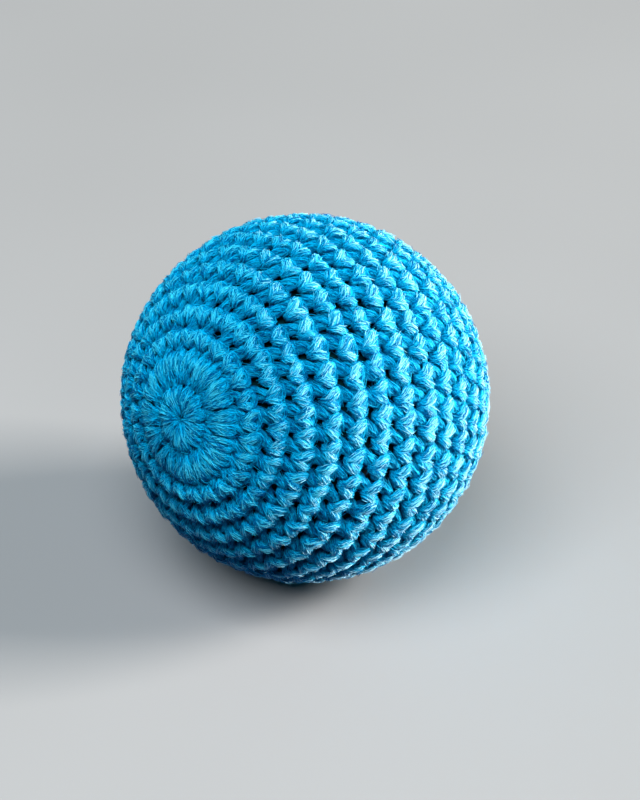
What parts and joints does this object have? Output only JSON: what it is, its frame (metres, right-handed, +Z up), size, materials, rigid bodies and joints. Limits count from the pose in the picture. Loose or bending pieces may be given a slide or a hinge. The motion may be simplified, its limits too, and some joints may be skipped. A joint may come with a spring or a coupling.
{
  "type": "juggling ball",
  "caption": "Crocheted juggling ball: a solid rubber core in a snug yarn cover worked in rounds from a drawn-up ring to a gathered close, made to be thrown and caught.",
  "frame": {"origin": "point on the floor under the centre of the ball, in the middle of the flat that it lies on", "axes": "+Z up, -Y towards the viewer of the picture, +X to the viewer's right; the crochet axis rises from the floor towards the viewer's left"},
  "size_m": [0.0699, 0.0699, 0.0694],
  "materials": {
    "core_rubber": "matt black",
    "yarn": "turquoise yarn with a soft sheen"
  },
  "bodies": {
    "root": {"core": "core_rubber", "starting_ring": "yarn", "starting_tail": "yarn", "round_01": "yarn", "round_02": "yarn", "round_03": "yarn", "round_04": "yarn", "round_05": "yarn", "round_06": "yarn", "round_07": "yarn", "round_08": "yarn", "round_09": "yarn", "round_10": "yarn", "round_11": "yarn", "round_12": "yarn", "round_13": "yarn", "round_14": "yarn", "round_15": "yarn", "round_16": "yarn", "round_17": "yarn", "round_18": "yarn", "round_19": "yarn", "round_20": "yarn", "round_21": "yarn", "closing_gather": "yarn", "closing_tail": "yarn"}
  },
  "joints": []
}
